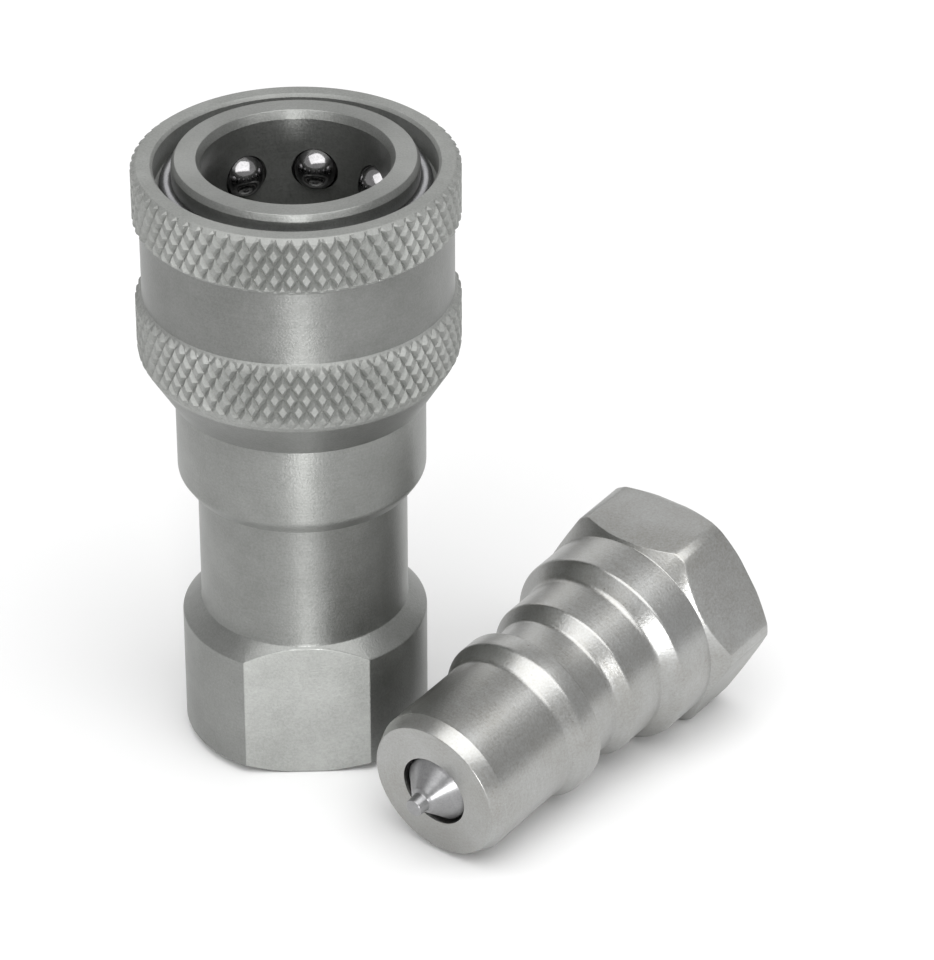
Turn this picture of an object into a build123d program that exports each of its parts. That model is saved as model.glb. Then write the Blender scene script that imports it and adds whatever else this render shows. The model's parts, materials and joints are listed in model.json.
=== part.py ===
from build123d import *
import math
import os

# Quick disconnect coupler: a socket half standing on its pipe end and a plug
# half (the nipple) lying beside it. Millimetres, +Z up, origin in the middle
# of the socket's bottom face. Both halves are shut off by sprung poppets.

# ---- socket half, outside ----
foot_radius = 12.82           # round pipe end
flats_width = 22.1            # two wrench flats, front and back
foot_chamfer = 1.62
foot_chamfer_height = 0.9
foot_cone_bottom = 13.95
foot_cone_top = 15.55
neck_radius = 10.83
neck_fillet = 0.25
collar_bottom = 30.2
collar_radius = 12.85
collar_round = 1.9
collar_top = 44.4
nose_radius = 12.43
nose_top = 67.15
nose_chamfer = 0.35
mouth_chamfer = 0.45
mouth_chamfer_height = 0.85

# ---- socket half, inside ----
mouth_radius = 9.5
mouth_floor = 55.4            # where the mouth narrows to the sealing bore
sealing_bore_radius = 8.3
sealing_bore_top = 54.2
valve_face = 42.4             # the flat the nipple's face meets
valve_hole_radius = 3.9
valve_hole_length = 1.1
seat_outer_radius = 6.4
valve_chamber_radius = 6.6
cage_bottom = 57.5            # below here the body is slimmer, for the spring
spring_neck_radius = 11.3
thread_radius = 10.9
thread_bottom = 34.0
pilot_radius = 9.0
pilot_bottom = 30.0
body_screw_gap = 0.05

# ---- locking balls ----
ball_count = 8
ball_radius = 2.38            # 3/16 inch balls
ball_height = 60.6            # height of the ring of balls
ball_circle_radius = 10.2
first_ball_angle = 78.0       # degrees from +X
ball_hole_radius = 2.45
ball_mouth_radius = 2.31
ball_seat_start = 9.42        # a short cone keeps each ball from falling in
ball_seat_end = 9.95
ball_gap = 0.03

# ---- sliding sleeve ----
sleeve_radius = 16.5
sleeve_groove_radius = 15.83
sleeve_bottom = 40.6
sleeve_top = 66.65
sleeve_lip_radius = 13.25
sleeve_bore_radius = 12.95
sleeve_taper_top = 45.9
lower_band_top = 51.65
groove_bottom = 52.45
groove_top = 60.4
upper_band_bottom = 61.0
upper_band_top = 66.2
rim_outer_radius = 15.91
rim_inner_radius = 14.52
counterbore_radius = 14.24
counterbore_floor = 63.7
counterbore_chamfer = 0.35
flange_bottom = 55.2
flange_top = 57.2
flange_bore_radius = 11.5
land_radius = 12.5
cone_slope = 0.25             # ball travel per sleeve travel

# ---- rings and springs ----
ring_wire = 1.6
ring_circle_radius = 12.9
ring_groove_wire = 1.68
ring_gap_angle = 16.0
ring_gap_centre = 100.0
seal_clearance = 0.02
bore_seal_wire = 2.2
bore_seal_outer = 10.3
bore_groove_bottom = 47.4
backup_height = 1.2
backup_inner = 8.38
adapter_seal_wire = 1.5
adapter_seal_height = 32.0
sleeve_spring_wire = 1.2
sleeve_spring_radius = 12.12
sleeve_spring_turns = 3.5
valve_spring_wire = 1.0
valve_spring_radius = 4.3
valve_spring_turns = 8.0

# ---- poppet valve, the same in both halves; heights from the valve face ----
pin_radius = 1.0
pin_reach = 3.3
pin_root = 1.9
nose_tip_radius = 1.3
nose_base_radius = 3.2
plunger_radius = 3.7
poppet_cone_start = 1.2
poppet_cone_radius = 5.0
seal_groove_top = 2.5
seal_groove_bottom = 4.2
seal_groove_radius = 4.15
poppet_head_radius = 5.6
poppet_head_bottom = 5.6
stem_radius = 1.75
stem_end = 26.5
poppet_seal_wire = 1.6
poppet_seal_circle = 5.0
poppet_seal_depth = 3.36

# ---- valve guide ----
guide_front = 22.0
guide_thickness = 2.0
guide_radius = 6.95
guide_seat_radius = 7.0
guide_hub_radius = 3.2
guide_hub_front = 20.4
guide_bore_radius = 1.8
guide_port_count = 4
guide_port_radius = 1.45
guide_port_circle = 5.0

# ---- pipe ports, 3/8-18 NPT, drawn at the thread's inner diameter ----
port_radius = 7.4
port_depth = 13.7
port_mouth_radius = 8.6
passage_radius = 6.2

# ---- nipple, lengths from its front face ----
nipple_face_radius = 7.5
nipple_chamfer_length = 1.65
probe_radius = 8.2
probe_end = 11.9
ridge_start = 13.8
ridge_end = 15.95
ridge_radius = 9.2
ball_groove_start = 16.2
ball_groove_radius = 7.95
ball_groove_end = 20.4
body_start = 21.9
body_end = 26.7
shoulder_start = 28.1
shoulder_radius = 10.88
nipple_hex_start = 32.7
hex_width = 22.3              # across its flats
nipple_corner_radius = 12.5
nipple_length = 41.3
nipple_rear_radius = 11.3     # where its chamfer starts
nipple_rear_chamfer = 0.7
nipple_cone_slope = 0.85      # of the chamfer at the front of the hexagon
clip_front = 24.1
clip_thickness = 0.9
clip_inner = 6.1
clip_outer = 7.65
clip_groove_radius = 7.7
clip_gap_angle = 40.0
nipple_x = 12.59
nipple_y = -26.1
nipple_turn = 49.05           # direction of its axis from +X, degrees


def turned(points):
    """A solid of revolution from (radius, height) corners."""
    with BuildPart() as part:
        with BuildSketch(Plane.XZ):
            with BuildLine():
                Polyline(*points, close=True)
            make_face()
        revolve(axis=Axis.Z)
    return part.part


def ring(circle_radius, wire, height):
    """A ring of round section."""
    with BuildPart() as part:
        with BuildSketch(Plane.XZ):
            with Locations((circle_radius, height)):
                Circle(wire / 2)
        revolve(axis=Axis.Z)
    return part.part


def cut_gap(solid, angle, centre, reach, bottom, top):
    """Opens a ring with a wedge-shaped gap."""
    half = math.radians(angle / 2)
    middle = math.radians(centre)
    left = (reach * math.cos(middle - half), reach * math.sin(middle - half))
    right = (reach * math.cos(middle + half), reach * math.sin(middle + half))
    with BuildPart() as wedge:
        with BuildSketch(Plane.XY.offset(bottom)):
            with BuildLine():
                Polyline((0, 0), left, right, close=True)
            make_face()
        extrude(amount=top - bottom)
    return solid - wedge.part


def hexagon(bottom, top):
    """A hexagonal bar with a flat facing -Y."""
    with BuildPart() as part:
        with BuildSketch(Plane.XY.offset(bottom)):
            RegularPolygon(hex_width / 2, 6, major_radius=False)
        extrude(amount=top - bottom)
    return part.part


def flatted_bar(bottom, top):
    """A bar with only the two wrench flats, facing -Y and +Y."""
    with BuildPart() as part:
        with BuildSketch(Plane.XY.offset(bottom)):
            Rectangle(3 * foot_radius, flats_width)
        extrude(amount=top - bottom)
    return part.part


def coil(radius, wire, bottom, top, turns):
    """A compression spring between two heights."""
    length = top - bottom - wire
    with BuildPart() as part:
        with BuildLine(Plane.XY.offset(bottom + wire / 2)):
            path = Helix(pitch=length / turns, height=length, radius=radius)
        with BuildSketch(Plane(origin=path @ 0, z_dir=path % 0)):
            Circle(wire / 2)
        sweep(is_frenet=True)
    return part.part


def ball_angles():
    step = 360 / ball_count
    return [first_ball_angle + step * number for number in range(ball_count)]


def ball_place(angle):
    turn = math.radians(angle)
    x = ball_circle_radius * math.cos(turn)
    y = ball_circle_radius * math.sin(turn)
    return Pos(x, y, ball_height)


def ball_hole(angle):
    """A radial hole that narrows where it meets the bore."""
    tool = turned([
        (0, mouth_radius - 2),
        (ball_mouth_radius, mouth_radius - 2),
        (ball_mouth_radius, ball_seat_start),
        (ball_hole_radius, ball_seat_end),
        (ball_hole_radius, nose_radius + 1),
        (0, nose_radius + 1),
    ])
    turn = math.radians(angle)
    outward = (math.cos(turn), math.sin(turn), 0)
    return Plane(origin=(0, 0, ball_height), z_dir=outward).location * tool


def socket_body():
    """Front half of the socket: nose, ball cage, sealing bore and valve seat."""
    hole_bottom = valve_face - valve_hole_length
    seat_bottom = hole_bottom - (seat_outer_radius - valve_hole_radius)
    groove_radius = bore_seal_outer + seal_clearance
    groove_top_height = bore_groove_bottom + bore_seal_wire + backup_height + 3 * seal_clearance
    body = turned([
        (mouth_radius + mouth_chamfer, nose_top),
        (nose_radius - nose_chamfer, nose_top),
        (nose_radius, nose_top - 0.65),
        (nose_radius, cage_bottom),
        (spring_neck_radius, cage_bottom),
        (spring_neck_radius, collar_top),
        (thread_radius, collar_top),
        (thread_radius, thread_bottom),
        (pilot_radius, thread_bottom),
        (pilot_radius, pilot_bottom),
        (valve_chamber_radius, pilot_bottom),
        (valve_chamber_radius, seat_bottom),
        (seat_outer_radius, seat_bottom),
        (valve_hole_radius, hole_bottom),
        (valve_hole_radius, valve_face),
        (sealing_bore_radius, valve_face),
        (sealing_bore_radius, bore_groove_bottom),
        (groove_radius, bore_groove_bottom),
        (groove_radius, groove_top_height),
        (sealing_bore_radius, groove_top_height),
        (sealing_bore_radius, sealing_bore_top),
        (mouth_radius, mouth_floor),
        (mouth_radius, nose_top - mouth_chamfer_height),
    ])
    ring_height = retaining_ring_height()
    body -= ring(ring_circle_radius, ring_groove_wire, ring_height)
    seal_groove = turned([
        (pilot_radius - adapter_seal_wire + 0.05, adapter_seal_height - 0.8),
        (pilot_radius + 1, adapter_seal_height - 0.8),
        (pilot_radius + 1, adapter_seal_height + 0.8),
        (pilot_radius - adapter_seal_wire + 0.05, adapter_seal_height + 0.8),
    ])
    body -= seal_groove
    for angle in ball_angles():
        body -= ball_hole(angle)
    return body


def socket_adapter():
    """Rear half of the socket: collar, neck, flatted foot and pipe port."""
    passage_top = valve_face - guide_front - guide_thickness
    upper = turned([
        (0, foot_cone_top),
        (neck_radius + neck_fillet, foot_cone_top),
        (neck_radius, foot_cone_top + neck_fillet),
        (neck_radius, collar_bottom),
        (collar_radius, collar_bottom),
        (collar_radius, collar_top),
        (0, collar_top),
    ]) - collar_edge()
    foot = turned([
        (0, 0),
        (foot_radius - foot_chamfer, 0),
        (foot_radius, foot_chamfer_height),
        (foot_radius, foot_cone_bottom),
        (neck_radius + neck_fillet, foot_cone_top),
        (0, foot_cone_top),
    ]) & flatted_bar(0, foot_cone_top)
    inside = turned([
        (0, -1),
        (port_mouth_radius + 1, -1),
        (port_mouth_radius, 0),
        (port_radius, port_mouth_radius - port_radius),
        (port_radius, port_depth),
        (passage_radius, port_depth + 0.8),
        (passage_radius, passage_top),
        (guide_seat_radius, passage_top),
        (guide_seat_radius, pilot_bottom - 0.3),
        (pilot_radius + body_screw_gap, pilot_bottom - 0.3),
        (pilot_radius + body_screw_gap, thread_bottom - 0.2),
        (thread_radius + body_screw_gap, thread_bottom - 0.2),
        (thread_radius + body_screw_gap, collar_top + 1),
        (0, collar_top + 1),
    ])
    return (upper + foot) - inside


def collar_edge():
    """Ring of metal taken off the collar's lower edge to round it."""
    top = collar_bottom + collar_round
    inner = collar_radius - collar_round
    with BuildPart() as part:
        with BuildSketch(Plane.XZ):
            with BuildLine():
                Line((inner, collar_bottom), (inner, collar_bottom - 1))
                Line((inner, collar_bottom - 1), (collar_radius + 1, collar_bottom - 1))
                Line((collar_radius + 1, collar_bottom - 1), (collar_radius + 1, top))
                Line((collar_radius + 1, top), (collar_radius, top))
                RadiusArc((collar_radius, top), (inner, collar_bottom), collar_round)
            make_face()
        revolve(axis=Axis.Z)
    return part.part


def adapter_seal():
    circle = pilot_radius - adapter_seal_wire / 2 + 0.03
    return ring(circle, adapter_seal_wire - 0.06, adapter_seal_height)


def lock_sleeve():
    """Spring-loaded sleeve that holds the balls in."""
    cone_bottom = land_cone_start()
    cone_top_radius = cone_radius(counterbore_floor)
    return turned([
        (sleeve_bore_radius, sleeve_bottom),
        (sleeve_lip_radius, sleeve_bottom),
        (sleeve_radius - 0.55, sleeve_taper_top - 0.9),
        (sleeve_radius - 0.1, sleeve_taper_top),
        (sleeve_radius, sleeve_taper_top + 0.7),
        (sleeve_radius, lower_band_top),
        (sleeve_groove_radius, groove_bottom),
        (sleeve_groove_radius, groove_top),
        (sleeve_radius, upper_band_bottom),
        (sleeve_radius, upper_band_top),
        (rim_outer_radius, sleeve_top),
        (rim_inner_radius, sleeve_top),
        (counterbore_radius, sleeve_top - counterbore_chamfer),
        (counterbore_radius, counterbore_floor),
        (cone_top_radius, counterbore_floor),
        (land_radius, cone_bottom),
        (land_radius, flange_top),
        (flange_bore_radius, flange_top),
        (flange_bore_radius, flange_bottom),
        (sleeve_bore_radius, flange_bottom),
    ])


def cone_radius(height):
    """Inside radius of the sleeve's release cone."""
    contact = ball_radius * math.sqrt(1 + cone_slope ** 2)
    return ball_circle_radius + contact + ball_gap + cone_slope * (height - ball_height)


def land_cone_start():
    return ball_height + (land_radius - cone_radius(ball_height)) / cone_slope


def retaining_ring_height():
    """The ring rests on the inner edge of the sleeve's counterbore floor."""
    reach = cone_radius(counterbore_floor) - ring_circle_radius
    drop = math.sqrt((ring_wire / 2) ** 2 - reach ** 2)
    return counterbore_floor + drop + ball_gap


def retaining_ring():
    height = retaining_ring_height()
    wire = ring(ring_circle_radius, ring_wire, height)
    return cut_gap(wire, ring_gap_angle, ring_gap_centre, 20, height - 2, height + 2)


def lock_ball(angle):
    return ball_place(angle) * Sphere(ball_radius)


def sleeve_spring():
    bottom = collar_top + seal_clearance
    top = flange_bottom - seal_clearance
    return coil(sleeve_spring_radius, sleeve_spring_wire, bottom, top, sleeve_spring_turns)


def bore_o_ring():
    circle = bore_seal_outer - bore_seal_wire / 2
    return ring(circle, bore_seal_wire, bore_groove_bottom + bore_seal_wire / 2 + seal_clearance)


def bore_backup_ring():
    bottom = bore_groove_bottom + bore_seal_wire + 2 * seal_clearance
    top = bottom + backup_height
    return turned([
        (backup_inner, bottom),
        (bore_seal_outer, bottom),
        (bore_seal_outer, top),
        (backup_inner, top),
    ])


# The valve pieces are drawn with the valve face at height 0 and the pin
# pointing up, then put into each half.

def poppet():
    return turned([
        (0, pin_reach),
        (pin_radius, pin_reach),
        (pin_radius, pin_root),
        (nose_tip_radius, pin_root - 0.05),
        (nose_base_radius, -0.1),
        (plunger_radius, -0.3),
        (plunger_radius, -poppet_cone_start),
        (poppet_cone_radius, -seal_groove_top),
        (seal_groove_radius, -seal_groove_top),
        (seal_groove_radius, -seal_groove_bottom),
        (poppet_head_radius, -seal_groove_bottom),
        (poppet_head_radius, -poppet_head_bottom),
        (stem_radius, -poppet_head_bottom),
        (stem_radius, -stem_end),
        (0, -stem_end),
    ])


def poppet_seal():
    return ring(poppet_seal_circle, poppet_seal_wire, -poppet_seal_depth)


def valve_spring():
    top = -poppet_head_bottom - seal_clearance
    bottom = -guide_front + seal_clearance
    return coil(valve_spring_radius, valve_spring_wire, bottom, top, valve_spring_turns)


def valve_guide():
    """Disc with a hub for the poppet's stem and holes for the flow."""
    guide = turned([
        (guide_bore_radius, -guide_hub_front),
        (guide_hub_radius, -guide_hub_front),
        (guide_hub_radius, -guide_front),
        (guide_radius, -guide_front),
        (guide_radius, -guide_front - guide_thickness),
        (guide_bore_radius, -guide_front - guide_thickness),
    ])
    for number in range(guide_port_count):
        turn = math.radians(360 / guide_port_count * number)
        hole = Cylinder(guide_port_radius, 4 * guide_thickness)
        x = guide_port_circle * math.cos(turn)
        y = guide_port_circle * math.sin(turn)
        guide -= Pos(x, y, -guide_front - guide_thickness / 2) * hole
    return guide


def nipple_body():
    """Plug half, drawn upright with its face at height 0 and its port down."""
    seat_depth = valve_hole_length + seat_outer_radius - valve_hole_radius
    hex_end = -nipple_length
    cone_length = (nipple_corner_radius - shoulder_radius) * nipple_cone_slope
    outside = turned([
        (0, 0),
        (nipple_face_radius, 0),
        (probe_radius, -nipple_chamfer_length),
        (probe_radius, -probe_end),
        (ridge_radius, -ridge_start),
        (ridge_radius, -ridge_end),
        (ball_groove_radius, -ball_groove_start),
        (ball_groove_radius, -ball_groove_end),
        (ridge_radius, -body_start),
        (ridge_radius, -body_end),
        (shoulder_radius, -shoulder_start),
        (shoulder_radius, -nipple_hex_start),
        (0, -nipple_hex_start),
    ])
    hex_part = turned([
        (0, -nipple_hex_start),
        (shoulder_radius, -nipple_hex_start),
        (nipple_corner_radius, -nipple_hex_start - cone_length),
        (nipple_corner_radius, hex_end + nipple_rear_chamfer),
        (nipple_rear_radius, hex_end),
        (0, hex_end),
    ]) & hexagon(hex_end, -nipple_hex_start)
    inside = turned([
        (0, 1),
        (valve_hole_radius, 1),
        (valve_hole_radius, -valve_hole_length),
        (seat_outer_radius, -seat_depth),
        (valve_chamber_radius, -seat_depth),
        (valve_chamber_radius, -guide_front),
        (guide_seat_radius, -guide_front),
        (guide_seat_radius, -clip_front + 0.05),
        (clip_groove_radius, -clip_front + 0.05),
        (clip_groove_radius, -clip_front - clip_thickness - 0.05),
        (guide_seat_radius, -clip_front - clip_thickness - 0.05),
        (guide_seat_radius, hex_end + port_depth + 0.2),
        (port_radius, hex_end + port_depth),
        (port_radius, hex_end + port_mouth_radius - port_radius),
        (port_mouth_radius, hex_end),
        (port_mouth_radius + 1, hex_end - 1),
        (0, hex_end - 1),
    ])
    return (outside + hex_part) - inside


def nipple_guide_clip():
    """Split ring that holds the nipple's valve guide."""
    clip = turned([
        (clip_inner, -clip_front),
        (clip_outer, -clip_front),
        (clip_outer, -clip_front - clip_thickness),
        (clip_inner, -clip_front - clip_thickness),
    ])
    return cut_gap(clip, clip_gap_angle, 0, 20, -clip_front - 3, -clip_front + 2)


def nipple_tilt():
    """The nipple rests on its front chamfer and on a flat of its hexagon."""
    flat_start = nipple_hex_start + (hex_width / 2 - shoulder_radius) * nipple_cone_slope
    rise = hex_width / 2 - probe_radius
    return math.atan2(rise, flat_start - nipple_chamfer_length)


def nipple_place():
    """From the upright drawing to its place on the table."""
    tilt = nipple_tilt()
    turn = math.radians(nipple_turn)
    height = probe_radius * math.cos(tilt) - nipple_chamfer_length * math.sin(tilt)
    back = (
        math.cos(turn) * math.cos(tilt),
        math.sin(turn) * math.cos(tilt),
        math.sin(tilt),
    )
    across = (-math.sin(turn), math.cos(turn), 0)
    front = tuple(-value for value in back)
    return Plane(origin=(nipple_x, nipple_y, height), x_dir=across, z_dir=front).location


def save(name, solid):
    shape = solid
    if hasattr(solid, "solids") and len(solid.solids()) == 1:
        shape = solid.solids()[0]
    shape.label = name
    export_step(shape, os.path.join("parts", name + ".step"))


def build():
    os.makedirs("parts", exist_ok=True)
    socket_valve = Pos(0, 0, valve_face)
    nipple_at = nipple_place()

    save("socket_body", socket_body())
    save("socket_adapter", socket_adapter())
    save("adapter_seal", adapter_seal())
    save("lock_sleeve", lock_sleeve())
    save("sleeve_spring", sleeve_spring())
    save("retaining_ring", retaining_ring())
    for number, angle in enumerate(ball_angles(), start=1):
        save(f"lock_ball_{number}", lock_ball(angle))
    save("bore_o_ring", bore_o_ring())
    save("bore_backup_ring", bore_backup_ring())
    save("socket_poppet", socket_valve * poppet())
    save("socket_poppet_seal", socket_valve * poppet_seal())
    save("socket_valve_spring", socket_valve * valve_spring())
    save("socket_valve_guide", socket_valve * valve_guide())

    save("nipple_body", nipple_at * nipple_body())
    save("nipple_poppet", nipple_at * poppet())
    save("nipple_poppet_seal", nipple_at * poppet_seal())
    save("nipple_valve_spring", nipple_at * valve_spring())
    save("nipple_valve_guide", nipple_at * valve_guide())
    save("nipple_guide_clip", nipple_at * nipple_guide_clip())


build()
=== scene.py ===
import bpy
import bmesh
import json
import math
from mathutils import Matrix, Vector


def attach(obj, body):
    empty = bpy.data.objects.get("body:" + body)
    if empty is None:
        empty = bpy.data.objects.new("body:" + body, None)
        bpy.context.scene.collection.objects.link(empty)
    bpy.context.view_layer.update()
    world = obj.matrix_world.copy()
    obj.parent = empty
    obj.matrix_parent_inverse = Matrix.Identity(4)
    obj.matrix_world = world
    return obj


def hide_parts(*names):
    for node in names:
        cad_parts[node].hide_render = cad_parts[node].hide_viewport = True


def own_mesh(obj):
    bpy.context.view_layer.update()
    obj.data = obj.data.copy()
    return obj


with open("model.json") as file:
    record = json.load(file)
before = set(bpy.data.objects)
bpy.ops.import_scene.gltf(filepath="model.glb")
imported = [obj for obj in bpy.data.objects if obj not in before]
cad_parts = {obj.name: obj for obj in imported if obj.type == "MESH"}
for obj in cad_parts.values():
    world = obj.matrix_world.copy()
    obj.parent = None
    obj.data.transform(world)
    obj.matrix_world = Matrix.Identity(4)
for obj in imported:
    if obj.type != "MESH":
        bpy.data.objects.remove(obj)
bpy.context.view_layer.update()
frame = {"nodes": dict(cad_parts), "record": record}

mm = 0.001
fullTurn = 2 * math.pi
sharpEdge = 32                      # degrees, past which an edge stays crisp
nearlyStraight = math.radians(176)
arcShare = 0.45                     # of each side that a rounded corner may use
nodes = frame["nodes"]
scene = bpy.context.scene
print("frame loaded,", len(nodes), "nodes")


# an arc that rounds one corner of an outline
def cornerArc(before, here, after, radius, steps=4):
    toBefore = before - here
    toAfter = after - here
    angle = toBefore.angle(toAfter)
    if angle > nearlyStraight:
        return [here.copy()]
    half = math.tan(angle / 2)
    reach = min(radius / half, arcShare * toBefore.length, arcShare * toAfter.length)
    start = here + toBefore.normalized() * reach
    end = here + toAfter.normalized() * reach
    inward = (toBefore.normalized() + toAfter.normalized()).normalized()
    centre = here + inward * (reach * half / math.sin(angle / 2))
    first = math.atan2(start.y - centre.y, start.x - centre.x)
    last = math.atan2(end.y - centre.y, end.x - centre.x)
    sweep = (last - first + math.pi) % fullTurn - math.pi
    size = (start - centre).length
    points = []
    for step in range(steps + 1):
        turn = first + sweep * step / steps
        points.append(centre + Vector((math.cos(turn), math.sin(turn))) * size)
    return points


# corners are (radius, height) or (radius, height, rounding), all in mm
def roundedProfile(corners, closed=True):
    path = []
    count = len(corners)
    for index, corner in enumerate(corners):
        here = Vector(corner[:2])
        atEnd = not closed and index in (0, count - 1)
        if len(corner) < 3 or atEnd:
            path.append((here.x, here.y))
            continue
        before = Vector(corners[index - 1][:2])
        after = Vector(corners[(index + 1) % count][:2])
        for point in cornerArc(before, here, after, corner[2]):
            path.append((point.x, point.y))
    return path


def evenAngles(count):
    return [fullTurn * step / count for step in range(count)]


# a ring is (radius, height), or a function of the angle that gives them
def spinInto(work, rings, angles, closed=True):
    loops = []
    for ring in rings:
        if not callable(ring) and ring[0] == 0:
            loops.append([work.verts.new((0, 0, ring[1] * mm))])
            continue
        loop = []
        for angle in angles:
            radius, height = ring(angle) if callable(ring) else ring
            x = radius * math.cos(angle) * mm
            y = radius * math.sin(angle) * mm
            loop.append(work.verts.new((x, y, height * mm)))
        loops.append(loop)
    pairs = list(zip(loops, loops[1:]))
    if closed:
        pairs.append((loops[-1], loops[0]))
    count = len(angles)
    for lower, upper in pairs:
        for step in range(count):
            after = (step + 1) % count
            if len(lower) == 1 and len(upper) == 1:
                continue
            if len(lower) == 1:
                work.faces.new((lower[0], upper[after], upper[step]))
            elif len(upper) == 1:
                work.faces.new((lower[step], lower[after], upper[0]))
            else:
                work.faces.new((lower[step], lower[after], upper[after], upper[step]))


def finishMesh(work, name, sharpAngle=sharpEdge):
    bmesh.ops.recalc_face_normals(work, faces=work.faces)
    limit = math.radians(sharpAngle)
    for face in work.faces:
        face.smooth = True
    for edge in work.edges:
        if len(edge.link_faces) == 2 and edge.calc_face_angle(0) > limit:
            edge.smooth = False
    mesh = bpy.data.meshes.new(name)
    work.to_mesh(mesh)
    work.free()
    piece = bpy.data.objects.new(name, mesh)
    scene.collection.objects.link(piece)
    return piece


def turnedPiece(name, corners, segments=192, closed=True):
    work = bmesh.new()
    spinInto(work, roundedProfile(corners, closed), evenAngles(segments), closed)
    return finishMesh(work, name)


def cutWith(piece, tool):
    cutter = piece.modifiers.new("cut", "BOOLEAN")
    cutter.operation = "DIFFERENCE"
    cutter.solver = "EXACT"
    cutter.object = tool
    graph = bpy.context.evaluated_depsgraph_get()
    result = bpy.data.meshes.new_from_object(piece.evaluated_get(graph))
    piece.modifiers.clear()
    old = piece.data
    piece.data = result
    bpy.data.meshes.remove(old)
    bpy.data.objects.remove(tool)
    work = bmesh.new()
    work.from_mesh(piece.data)
    for face in work.faces:
        face.smooth = True
    for edge in work.edges:
        sharp = len(edge.link_faces) == 2 and edge.calc_face_angle(0) > math.radians(sharpEdge)
        edge.smooth = not sharp
    work.to_mesh(piece.data)
    work.free()


# a hexagon with turned-down corners
def hexRadius(angle, width, cornerRadius, firstFlat):
    sector = math.radians(60)
    offCentre = (angle - firstFlat + sector / 2) % sector - sector / 2
    flat = width / 2 / math.cos(offCentre)
    fromCorner = sector / 2 - abs(offCentre)
    edgeRound = 0.3
    reach = (width / 2 - edgeRound) / math.cos(sector / 2)
    inside = edgeRound ** 2 - (reach * math.sin(fromCorner)) ** 2
    if inside > 0:
        flat = min(flat, reach * math.cos(fromCorner) + math.sqrt(inside))
    return min(flat, cornerRadius)


def hexAngles(firstFlat):
    steps = [0, 3, 6, 9, 12, 15, 18, 21, 24, 26.5, 28, 28.8, 29.2, 29.5, 29.8]
    offsets = [-step for step in reversed(steps[1:])] + steps + [30]
    angles = []
    for side in range(6):
        for offset in offsets:
            angles.append(firstFlat + math.radians(60 * side + offset))
    return angles


# pipe thread, as rings that follow a helix
threadPort = {
    "pitch": 1.411,
    "crestRadius": 7.78,       # at the mouth, tapering 1 in 32
    "height": 0.95,
    "taper": 1 / 32,
    "length": 11.6,
    "rowsPerTurn": 8,
}


def threadRing(depth, sign, mouthHeight):
    spec = threadPort

    def ring(angle):
        phase = (depth / spec["pitch"] + angle / fullTurn) % 1.0
        wave = 1 - abs(2 * phase - 1)
        flat = min(1, max(0, (wave - 0.12) / 0.76))
        fadeIn = min(1, depth / 0.8)
        fadeOut = min(1, (spec["length"] - depth) / 1.6)
        crest = spec["crestRadius"] - depth * spec["taper"]
        radius = crest + spec["height"] * flat * min(fadeIn, fadeOut)
        return radius, mouthHeight + sign * depth
    return ring


def threadRings(mouthHeight, sign):
    spec = threadPort
    rows = int(spec["length"] / spec["pitch"] * spec["rowsPerTurn"])
    start = 0.55
    rings = []
    for row in range(rows + 1):
        depth = start + (spec["length"] - start) * row / rows
        rings.append(threadRing(depth, sign, mouthHeight))
    return rings


def newMaterial(name):
    material = bpy.data.materials.new(name)
    material.use_nodes = True
    material.node_tree.nodes.clear()
    return material


def addNode(material, kind, **values):
    node = material.node_tree.nodes.new(kind)
    for key, value in values.items():
        setattr(node, key, value)
    return node


def link(material, fromSocket, toSocket):
    material.node_tree.links.new(fromSocket, toSocket)


def mathNode(material, operation, first, second=None):
    node = addNode(material, "ShaderNodeMath", operation=operation)
    for index, value in enumerate((first, second)):
        if value is None:
            continue
        if isinstance(value, (int, float)):
            node.inputs[index].default_value = value
        else:
            link(material, value, node.inputs[index])
    return node.outputs[0]


probeMount = 6.0  # the nipple's probe mount is this far behind its face


# the record says where the nipple's front end is and which way it points
def nippleMatrix():
    probe = next(mount for mount in frame["record"]["mounts"] if mount["name"] == "nipple_probe")
    front = Vector(probe["axis"]).normalized()
    face = Vector(probe["pos_m"]) + front * probeMount * mm
    across = Vector((front.y, -front.x, 0)).normalized()
    place = Matrix((across, front.cross(across), front)).transposed().to_4x4()
    place.translation = face
    return place


upright = Matrix()
nipplePlace = nippleMatrix()


def vectorNode(material, operation, first, second):
    node = addNode(material, "ShaderNodeVectorMath", operation=operation)
    link(material, first, node.inputs[0])
    node.inputs[1].default_value = second
    return node.outputs[0]


# coordinates seen from the axis that a piece was turned on
def ownCoordinates(material, place):
    node = addNode(material, "ShaderNodeMapping", vector_type="TEXTURE")
    node.inputs["Location"].default_value = place.translation
    node.inputs["Rotation"].default_value = place.to_euler()
    link(material, addNode(material, "ShaderNodeTexCoord").outputs["Object"], node.inputs["Vector"])
    return node.outputs[0]


# the direction in which the tool ran round the axis
def toolDirection(material, place):
    where = addNode(material, "ShaderNodeTexCoord").outputs["Object"]
    fromAxis = vectorNode(material, "SUBTRACT", where, place.translation)
    return vectorNode(material, "CROSS_PRODUCT", fromAxis, -place.col[2].to_3d())


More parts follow.
